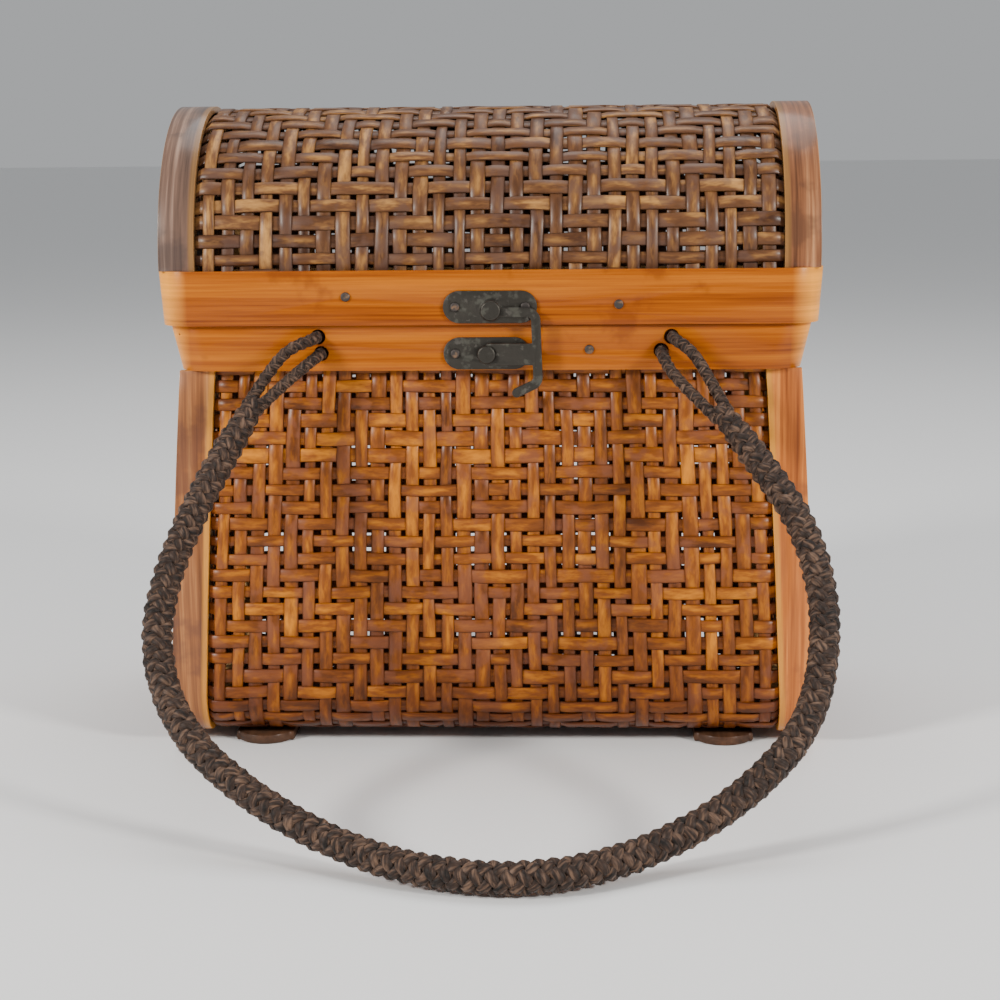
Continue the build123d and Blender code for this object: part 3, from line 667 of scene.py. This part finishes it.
def make_handle():
    """The braid and its four legs, and the two knots."""
    line = smooth_line("braid_line", braid_route)
    braid_radius, braid_pitch = braid_thickness / 2, 8.8 * mm
    leg_radius, leg_pitch = 2.3 * mm, 3.6 * mm
    braid = round_braid("handle_braid_strands", line, braid_radius, braid_pitch, 4, 3, thin_end=0.8)
    finish_piece(braid, "body", "handle_cord", braid_cord, "handle_braid")
    for number, (place, route) in enumerate(leg_routes.items()):
        line = smooth_line("leg_line", in_metres(route))
        leg = round_braid("handle_leg_" + place + "_strands", line, leg_radius, leg_pitch, 2, 40 + number)
        finish_piece(leg, "body", "handle_cord", braid_cord, "handle_leg_" + place)
    for place in ("left", "right"):
        node = "handle_knot_" + place
        knot = handle_knot(node + "_turns", *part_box(node))
        finish_piece(knot, "body", "handle_cord", braid_cord, node)


# ---- Slats, hoops and metal, with rounded edges ----
merge_distance = 0.001 * mm
flat_angle, sharp_angle, smooth_angle = math.radians(0.5), math.radians(40), math.radians(35)


def rounded(node, width, body, slot, material, edge_material=None):
    """A merged copy of a CAD node with its sharp edges rounded, which stands for the node."""
    bpy.ops.object.select_all(action="DESELECT")
    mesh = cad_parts[node].data.copy()
    piece = bpy.data.objects.new(node + "_rounded", mesh)
    bpy.context.scene.collection.objects.link(piece)
    mesh.materials.clear()
    bpy.context.view_layer.objects.active = piece
    piece.select_set(True)
    bpy.ops.object.mode_set(mode="EDIT")
    bpy.ops.mesh.select_all(action="SELECT")
    bpy.ops.mesh.remove_doubles(threshold=merge_distance)
    bpy.ops.mesh.customdata_custom_splitnormals_clear()
    bpy.ops.mesh.dissolve_limited(angle_limit=flat_angle)
    bpy.ops.object.mode_set(mode="OBJECT")
    mesh.materials.append(material)
    bevel = piece.modifiers.new("rounded edges", "BEVEL")
    bevel.width = width
    bevel.segments = 2
    bevel.limit_method = "ANGLE"
    bevel.angle_limit = sharp_angle
    bevel.use_clamp_overlap = True
    if edge_material is not None:
        mesh.materials.append(edge_material)
        bevel.material = 1
    bpy.ops.object.modifier_apply(modifier=bevel.name)
    bpy.ops.object.shade_smooth_by_angle(angle=smooth_angle)
    finish_piece(piece, body, slot, None, node)


def dress(node, material):
    """A CAD node that stays, in its better finish."""
    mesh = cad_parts[node].data
    mesh.materials.clear()
    mesh.materials.append(material)


def make_slats():
    """Hoops, ribs, clamping slats and runners."""
    for body in ("body", "lid"):
        rounded(body + "_hoop", 0.5 * mm, body, "hoop_bamboo", hoop_bamboo, hoop_edge)
        rounded(body + "_inner_hoop", 0.4 * mm, body, "inner_bamboo", inner_bamboo)
        edge = body_rib_edge if body == "body" else lid_rib_edge
        for side in ("_left", "_right"):
            node = body + "_rib" + side
            rounded(node, 1.1 * mm, body, body + "_rib_bamboo", rib_bamboo[node], edge)
            rounded(body + "_inner_rib" + side, 0.4 * mm, body, "inner_bamboo", inner_bamboo)
    for side in ("left", "right"):
        rounded("runner_" + side, 0.7 * mm, "body", "runner_bamboo", runner_bamboo)


def make_metal():
    """Latch, hinges and nails."""
    rounded("latch_upper_plate", 0.3 * mm, "lid", "latch_metal", dark_bronze)
    rounded("latch_lower_plate", 0.3 * mm, "body", "latch_metal", dark_bronze)
    rounded("latch_hook", 0.4 * mm, "hook", "latch_metal", dark_bronze)
    for node in ("latch_pivot", "latch_post"):
        dress(node, dark_bronze)
    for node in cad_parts:
        if node.startswith("hinge_"):
            dress(node, hinge_metal)
        if node.endswith("_nails"):
            dress(node, nail_iron)


# ---- Materials ----
def set_inputs(tree, node, values):
    """Links each value that is a socket, and sets any other."""
    for name, value in values.items():
        if isinstance(value, bpy.types.NodeSocket):
            tree.links.new(value, node.inputs[name])
        else:
            node.inputs[name].default_value = value


def add(tree, kind, values=None, **settings):
    """A node with its settings and inputs."""
    node = tree.nodes.new(kind)
    for name, setting in settings.items():
        setattr(node, name, setting)
    set_inputs(tree, node, values or {})
    return node


def group_of(name, inputs, outputs):
    """An empty node group with its sockets, and its input and output nodes."""
    group = bpy.data.node_groups.new(name, "ShaderNodeTree")
    for label, kind, value in inputs:
        socket = group.interface.new_socket(label, in_out="INPUT", socket_type=kind)
        if value is not None:
            socket.default_value = value
    for label, kind in outputs:
        group.interface.new_socket(label, in_out="OUTPUT", socket_type=kind)
    return group, group.nodes.new("NodeGroupInput"), group.nodes.new("NodeGroupOutput")


def blend_values(tree, operation, first, second, third=None):
    """The result of one sum on two or three values."""
    values = {0: first, 1: second}
    if third is not None:
        values[2] = third
    return add(tree, "ShaderNodeMath", values, operation=operation).outputs[0]


def ranged(tree, value, low, high, to_low=0.0, to_high=1.0):
    """A value carried over from one range to another, and held at its ends."""
    values = {"Value": value, "From Min": low, "From Max": high, "To Min": to_low, "To Max": to_high}
    return add(tree, "ShaderNodeMapRange", values).outputs[0]


def grain_group():
    """Streaks along a stretched pattern, fine ones and broad ones."""
    group, given, result = group_of(
        "grain",
        [("Vector", "NodeSocketVector", None), ("Stretch", "NodeSocketVector", (1, 1, 1))],
        [("Fine", "NodeSocketFloat"), ("Broad", "NodeSocketFloat")],
    )
    sockets = {0: given.outputs["Vector"], 1: given.outputs["Stretch"]}
    place = add(group, "ShaderNodeVectorMath", sockets, operation="MULTIPLY").outputs[0]
    noises = {
        "Fine": {"Vector": place, "Scale": 1.0, "Detail": 3.0, "Roughness": 0.6},
        "Broad": {"Vector": place, "Scale": 0.17, "Detail": 2.0, "Distortion": 0.4},
    }
    for name, settings in noises.items():
        noise = add(group, "ShaderNodeTexNoise", settings).outputs[0]
        group.links.new(ranged(group, noise, 0.28, 0.72), result.inputs[name])
    return group


def blotch_group():
    """Soft-edged patches of a given size, from 0 to 1."""
    group, given, result = group_of(
        "blotches",
        [
            ("Vector", "NodeSocketVector", None),
            ("Scale", "NodeSocketFloat", 60.0),
            ("Share", "NodeSocketFloat", 0.5),
        ],
        [("Mask", "NodeSocketFloat")],
    )
    place, scale, share = (given.outputs[label] for label in ("Vector", "Scale", "Share"))
    settings = {"Vector": place, "Scale": scale, "Detail": 4.0, "Roughness": 0.55}
    noise = add(group, "ShaderNodeTexNoise", settings).outputs[0]
    clear = ranged(group, blend_values(group, "SUBTRACT", 1.0, share), 0.0, 1.0, 0.3, 0.7)
    covered = blend_values(group, "ADD", clear, 0.1)
    limits = {"Value": noise, "From Min": clear, "From Max": covered}
    mask = add(group, "ShaderNodeMapRange", limits, interpolation_type="SMOOTHSTEP")
    group.links.new(mask.outputs[0], result.inputs["Mask"])
    return group


grain = grain_group()
blotches = blotch_group()


def new_material(name):
    """A material, its node tree and its shader."""
    material = bpy.data.materials.new(name)
    material.use_nodes = True
    tree = material.node_tree
    return material, tree, tree.nodes["Principled BSDF"]


def placed_group(tree, group, values):
    """A node group in a tree, with its inputs."""
    node = add(tree, "ShaderNodeGroup", node_tree=group)
    set_inputs(tree, node, values)
    return node


def patch_mask(tree, place, scale, share):
    """Where patches lie: the higher the scale the smaller, and share says how much they cover."""
    return placed_group(tree, blotches, {"Vector": place, "Scale": scale, "Share": share}).outputs["Mask"]


def ramp(tree, factor, *stops):
    """A colour ramp with stops of (place, red, green, blue)."""
    node = add(tree, "ShaderNodeValToRGB", {"Fac": factor})
    elements = node.color_ramp.elements
    for _ in stops[2:]:
        elements.new(0.5)
    for element, (place, *colour) in zip(elements, stops):
        element.position = place
        element.color = (*colour, 1)
    return node.outputs["Color"]


def blend_colours(tree, kind, factor, first, second):
    """Two colours mixed. A colour that isn't a socket is given as (red, green, blue)."""
    node = add(tree, "ShaderNodeMix", data_type="RGBA", blend_type=kind)
    first, second = (
        colour if isinstance(colour, bpy.types.NodeSocket) else (*colour, 1) for colour in (first, second)
    )
    set_inputs(tree, node, {0: factor, 6: first, 7: second})
    return node.outputs[2]


def bump(tree, shader, height, strength, distance):
    """Small relief on a shader, from a height."""
    node = add(tree, "ShaderNodeBump", {"Height": height, "Strength": strength, "Distance": distance})
    tree.links.new(node.outputs[0], shader.inputs["Normal"])


def bamboo(name, stretch, stops, patch_colour, patch_share, roughness, gloss, pale_bend_and_highlight_colour=None, edge=None):
    """Split bamboo: long grain, broad bands, patches and a thin varnish.

    pale_bend_and_highlight_colour is a hoop's paler colour where it bends round the corners, with a painted
    highlight laid over it. edge gives how far from the middle a rib's inner edge is at its foot, how far it
    leans in with height, and the pale colour along it.
    """
    material, tree, shader = new_material(name)
    place = add(tree, "ShaderNodeTexCoord").outputs["Object"]
    streaks = placed_group(tree, grain, {"Vector": place, "Stretch": stretch})
    broad = blend_values(tree, "MULTIPLY", streaks.outputs["Broad"], 0.55)
    level = blend_values(tree, "MULTIPLY_ADD", streaks.outputs["Fine"], 0.45, broad)
    colour = ramp(tree, level, *stops)
    shade = blend_values(tree, "MULTIPLY", patch_mask(tree, place, 45.0, patch_share), 0.55)
    colour = blend_colours(tree, "MIX", shade, colour, patch_colour)
    across, _, height = add(tree, "ShaderNodeSeparateXYZ", {0: place}).outputs
    reach = blend_values(tree, "ABSOLUTE", across, 0.0)
    streak = ranged(tree, level, 0.2, 0.8, 0.55, 1.0)
    # Paler bent fibres round a hoop's corners, with a painted highlight there.
    if pale_bend_and_highlight_colour is not None:
        pale_bend_and_highlight = ranged(tree, reach, bend_highlight_start, bend_highlight_end)
        pale_bend_and_highlight = blend_values(tree, "MULTIPLY", pale_bend_and_highlight, streak)
        colour = blend_colours(tree, "MIX", pale_bend_and_highlight, colour, pale_bend_and_highlight_colour)
    if edge is not None:
        inner_edge, lean, pale_colour = edge
        straight = blend_values(tree, "MINIMUM", height, neck_height)
        past = blend_values(tree, "MULTIPLY_ADD", straight, lean, reach)
        line = ranged(tree, past, inner_edge + pale_line, inner_edge + pale_line + line_blur, 1.0, 0.0)
        line = blend_values(tree, "MULTIPLY", line, streak)
        colour = blend_colours(tree, "MIX", line, colour, pale_colour)
    tree.links.new(colour, shader.inputs["Base Color"])
    rough = ranged(tree, streaks.outputs["Broad"], 0.0, 1.0, roughness - 0.08, roughness + 0.1)
    tree.links.new(rough, shader.inputs["Roughness"])
    shader.inputs["Specular IOR Level"].default_value = 0.15
    shader.inputs["Coat Weight"].default_value = gloss
    shader.inputs["Coat Roughness"].default_value = 0.2
    bump(tree, shader, level, 0.35, 0.15 * mm)
    return material


def strand_values(tree):
    """What strand_mesh gives each strand: its tone, and how high it lies."""
    labels = ("tone", "lift")
    return [add(tree, "ShaderNodeAttribute", attribute_name=label).outputs["Fac"] for label in labels]


def strand_place(tree):
    """How far along a strand a point lies, in metres, and how far round it, from 0 to 1."""
    grain_map = add(tree, "ShaderNodeUVMap", uv_map="grain").outputs[0]
    return add(tree, "ShaderNodeSeparateXYZ", {0: grain_map}).outputs[:2]


def cane(name, stops, patch_colour, patch_share, shade_colour, foot_shade):
    """Strips of cane: grain along each strip, each with its own tone, painted shade where one dips under and
    down its sides, and a painted highlight along the middle of its top.

    foot_shade says how dark the painted shade at a sheet's foot is.
    """
    material, tree, shader = new_material(name)
    place = add(tree, "ShaderNodeTexCoord").outputs["Object"]
    tone, lift = strand_values(tree)
    along, around = strand_place(tree)
    shifted = blend_values(tree, "MULTIPLY_ADD", tone, 37.0, along)
    layer = blend_values(tree, "MULTIPLY", tone, 3.0)
    strip = add(tree, "ShaderNodeCombineXYZ", {0: shifted, 1: around, 2: layer}).outputs[0]
    streaks = placed_group(tree, grain, {"Vector": strip, "Stretch": (110.0, 9.0, 9.0)})
    mixed = blend_values(tree, "MULTIPLY", streaks.outputs["Fine"], 0.42)
    mixed = blend_values(tree, "MULTIPLY_ADD", streaks.outputs["Broad"], 0.4, mixed)
    mixed = blend_values(tree, "MULTIPLY_ADD", tone, 0.18, mixed)
    colour = ramp(tree, mixed, *stops)
    # The middle of a strip's top is a quarter of the way round it.
    top_middle = 0.25
    off_middle = blend_values(tree, "SUBTRACT", around, top_middle)
    off_middle = blend_values(tree, "ABSOLUTE", off_middle, 0.0)
    # Painted highlight: the middle of a strip's top is paler where the strip lies high.
    crown_highlight = blend_values(tree, "MULTIPLY", ranged(tree, off_middle, 0.0, 0.06, 0.4, 0.0), lift)
    crown_highlight = blend_values(tree, "MULTIPLY", crown_highlight, ranged(tree, streaks.outputs["Fine"], 0.35, 0.8))
    colour = blend_colours(tree, "MIX", crown_highlight, colour, stops[-1][1:])
    shade = blend_values(tree, "MULTIPLY", patch_mask(tree, place, 110.0, patch_share), 0.6)
    colour = blend_colours(tree, "MIX", shade, colour, patch_colour)
    # Painted shade: a strip darkens where it dips under another.
    sunk_shade = ranged(tree, lift, 0.0, 0.5, 0.3, 0.0)
    colour = blend_colours(tree, "MULTIPLY", sunk_shade, colour, shade_colour)
    # Painted shade down both sides of each strip, away from the middle of its top.
    shaded_side = ranged(tree, off_middle, 0.06, 0.13, 0.0, 0.45)
    colour = blend_colours(tree, "MULTIPLY", shaded_side, colour, shade_colour)
    # Painted shade: the cane darkens towards the bottom of the sheet.
    height = add(tree, "ShaderNodeSeparateXYZ", {0: place}).outputs[2]
    low = ranged(tree, height, foot_height, foot_shade_top, foot_shade, 0.0)
    colour = blend_colours(tree, "MULTIPLY", low, colour, shade_colour)
    tree.links.new(colour, shader.inputs["Base Color"])
    tree.links.new(ranged(tree, streaks.outputs["Broad"], 0.0, 1.0, 0.36, 0.56), shader.inputs["Roughness"])
    shader.inputs["Specular IOR Level"].default_value = 0.22
    shader.inputs["Coat Weight"].default_value = 0.1
    shader.inputs["Coat Roughness"].default_value = 0.25
    bump(tree, shader, mixed, 0.5, 0.2 * mm)
    return material


def metal(name, dark, light, patina, patina_share, roughness):
    """Old pressed metal: worn dark plating, dull patches and small dents."""
    material, tree, shader = new_material(name)
    place = add(tree, "ShaderNodeTexCoord").outputs["Object"]
    rubbed = patch_mask(tree, place, 300.0, 0.3)
    dull = patch_mask(tree, place, 260.0, patina_share)
    colour = blend_colours(tree, "MIX", blend_values(tree, "MULTIPLY", rubbed, 0.6), dark, light)
    colour = blend_colours(tree, "MIX", dull, colour, patina)
    tree.links.new(colour, shader.inputs["Base Color"])
    tree.links.new(ranged(tree, dull, 0.0, 1.0, 0.9, 0.35), shader.inputs["Metallic"])
    rough = ranged(tree, rubbed, 0.0, 1.0, roughness + 0.12, roughness)
    tree.links.new(rough, shader.inputs["Roughness"])
    dents = add(tree, "ShaderNodeTexNoise", {"Vector": place, "Scale": 700.0, "Detail": 3.0}).outputs[0]
    bump(tree, shader, dents, 0.5, 0.25 * mm)
    return material


def cord_material(name):
    """Waxed cord: twisted fibres along each strand, with painted shade down between the strands."""
    material, tree, shader = new_material(name)
    tone, lift = strand_values(tree)
    along, around = strand_place(tree)
    twist = blend_values(tree, "MULTIPLY", around, 8.0)
    leaning = blend_values(tree, "MULTIPLY_ADD", along, 650.0, twist)
    spread_round = blend_values(tree, "MULTIPLY", around, 5.0)
    fibres = add(tree, "ShaderNodeCombineXYZ", {0: leaning, 1: spread_round, 2: tone}).outputs[0]
    noise = add(tree, "ShaderNodeTexNoise", {"Vector": fibres, "Scale": 1.0, "Detail": 2.0}).outputs[0]
    spread = ranged(tree, noise, 0.3, 0.7)
    stops = ((0.0, 0.004, 0.002, 0.001), (0.5, 0.03, 0.015, 0.009), (1.0, 0.14, 0.08, 0.05))
    colour = ramp(tree, spread, *stops)
    # Painted shade down between the strands, where a strand lies low.
    sunk_shade = ranged(tree, lift, 0.0, 0.7, 0.8, 0.0)
    colour = blend_colours(tree, "MULTIPLY", sunk_shade, colour, (0.3, 0.24, 0.22))
    tree.links.new(colour, shader.inputs["Base Color"])
    shader.inputs["Roughness"].default_value = 0.6
    shader.inputs["Specular IOR Level"].default_value = 0.25
    shader.inputs["Sheen Weight"].default_value = 0.05
    bump(tree, shader, spread, 0.8, 0.4 * mm)
    return material


# How far from the middle a hoop's bend starts to pale, with its painted highlight, and is palest.
bend_highlight_start, bend_highlight_end = 103 * mm, 110 * mm
# How wide the pale line along a rib's inner edge is, and how far it fades beyond that.
pale_line, line_blur = 1.3 * mm, 1.0 * mm
# The heights between which the painted shade at the foot of the cane fades.
foot_height, foot_shade_top = 2 * mm, 46 * mm
body_lean = (body_foot_half_width - body_neck_half_width) / neck_height
body_pale_edge = (body_foot_half_width - rib_width, body_lean, (0.62, 0.25, 0.03))
lid_pale_edge = (lid_half_width - rib_width, 0.0, (0.27, 0.13, 0.035))

# How finely the grain varies along x, y and z. It runs where the number is small.
round_the_bag = (16.0, 16.0, 950.0)
over_the_bag = (800.0, 22.0, 22.0)
front_to_back = (500.0, 20.0, 500.0)

hoop_bamboo = bamboo(
    "hoop_bamboo",
    round_the_bag,
    ((0.12, 0.12, 0.02, 0.0), (0.45, 0.3, 0.066, 0.0), (0.85, 0.47, 0.13, 0.001)),
    patch_colour=(0.17, 0.032, 0.001),
    patch_share=0.3,
    roughness=0.36,
    gloss=0.2,
    pale_bend_and_highlight_colour=(0.95, 0.37, 0.03),
)
hoop_edge = bamboo(
    "hoop_edge",
    round_the_bag,
    ((0.1, 0.36, 0.08, 0.004), (0.5, 0.58, 0.16, 0.012), (0.9, 0.78, 0.3, 0.04)),
    patch_colour=(0.3, 0.07, 0.01),
    patch_share=0.2,
    roughness=0.4,
    gloss=0.3,
)
rib_bamboo = {}
rib_bamboo["body_rib_left"] = bamboo(
    "body_rib_left_bamboo",
    over_the_bag,
    ((0.12, 0.09, 0.032, 0.014), (0.5, 0.29, 0.105, 0.034), (0.88, 0.56, 0.25, 0.08)),
    patch_colour=(0.12, 0.045, 0.028),
    patch_share=0.4,
    roughness=0.4,
    gloss=0.4,
    edge=body_pale_edge,
)
rib_bamboo["body_rib_right"] = bamboo(
    "body_rib_right_bamboo",
    over_the_bag,
    ((0.12, 0.19, 0.045, 0.009), (0.5, 0.45, 0.125, 0.021), (0.88, 0.74, 0.27, 0.05)),
    patch_colour=(0.2, 0.058, 0.022),
    patch_share=0.4,
    roughness=0.4,
    gloss=0.4,
    edge=body_pale_edge,
)
body_rib_edge = bamboo(
    "body_rib_edge",
    over_the_bag,
    ((0.1, 0.4, 0.15, 0.02), (0.5, 0.6, 0.26, 0.04), (0.9, 0.78, 0.42, 0.1)),
    patch_colour=(0.28, 0.1, 0.02),
    patch_share=0.3,
    roughness=0.45,
    gloss=0.3,
)
rib_bamboo["lid_rib_left"] = bamboo(
    "lid_rib_left_bamboo",
    over_the_bag,
    ((0.12, 0.037, 0.023, 0.018), (0.5, 0.165, 0.094, 0.066), (0.88, 0.43, 0.28, 0.2)),
    patch_colour=(0.05, 0.036, 0.033),
    patch_share=0.45,
    roughness=0.42,
    gloss=0.45,
    edge=lid_pale_edge,
)
rib_bamboo["lid_rib_right"] = bamboo(
    "lid_rib_right_bamboo",
    over_the_bag,
    ((0.12, 0.055, 0.02, 0.009), (0.5, 0.215, 0.08, 0.032), (0.88, 0.5, 0.235, 0.1)),
    patch_colour=(0.08, 0.034, 0.018),
    patch_share=0.45,
    roughness=0.42,
    gloss=0.4,
    edge=lid_pale_edge,
)
lid_rib_edge = bamboo(
    "lid_rib_edge",
    over_the_bag,
    ((0.1, 0.3, 0.14, 0.04), (0.5, 0.46, 0.24, 0.08), (0.9, 0.62, 0.38, 0.16)),
    patch_colour=(0.14, 0.07, 0.03),
    patch_share=0.3,
    roughness=0.45,
    gloss=0.3,
)
inner_bamboo = bamboo(
    "inner_bamboo",
    round_the_bag,
    ((0.1, 0.33, 0.16, 0.06), (0.5, 0.48, 0.26, 0.1), (0.9, 0.6, 0.36, 0.16)),
    patch_colour=(0.3, 0.15, 0.06),
    patch_share=0.35,
    roughness=0.55,
    gloss=0.1,
)
# The runners' own dark bamboo, darkened further with painted shade, as they stand in shade under the bag.
runner_bamboo = bamboo(
    "runner_bamboo",
    front_to_back,
    ((0.1, 0.03, 0.014, 0.008), (0.5, 0.075, 0.034, 0.018), (0.9, 0.13, 0.06, 0.03)),
    patch_colour=(0.03, 0.018, 0.012),
    patch_share=0.5,
    roughness=0.5,
    gloss=0.2,
)
body_cane = cane(
    "body_cane",
    ((0.15, 0.075, 0.019, 0.003), (0.52, 0.23, 0.06, 0.004), (0.88, 0.6, 0.2, 0.006)),
    patch_colour=(0.2, 0.064, 0.03),
    patch_share=0.46,
    shade_colour=(0.32, 0.2, 0.12),
    foot_shade=0.75,
)
lid_cane = cane(
    "lid_cane",
    ((0.15, 0.044, 0.016, 0.007), (0.56, 0.13, 0.051, 0.017), (0.92, 0.49, 0.24, 0.065)),
    patch_colour=(0.1, 0.05, 0.034),
    patch_share=0.5,
    shade_colour=(0.3, 0.22, 0.18),
    foot_shade=0.0,
)
dark_bronze = metal(
    "dark_bronze",
    dark=(0.05, 0.045, 0.038),
    light=(0.16, 0.145, 0.125),
    patina=(0.055, 0.052, 0.04),
    patina_share=0.4,
    roughness=0.34,
)
hinge_metal = metal(
    "hinge_metal",
    dark=(0.06, 0.052, 0.045),
    light=(0.22, 0.19, 0.15),
    patina=(0.12, 0.11, 0.08),
    patina_share=0.4,
    roughness=0.4,
)
nail_iron = metal(
    "nail_iron",
    dark=(0.07, 0.06, 0.055),
    light=(0.2, 0.17, 0.14),
    patina=(0.16, 0.09, 0.05),
    patina_share=0.45,
    roughness=0.42,
)
braid_cord = cord_material("braid_cord")

weave_wraps()
weave_ends()
make_handle()
make_slats()
make_metal()
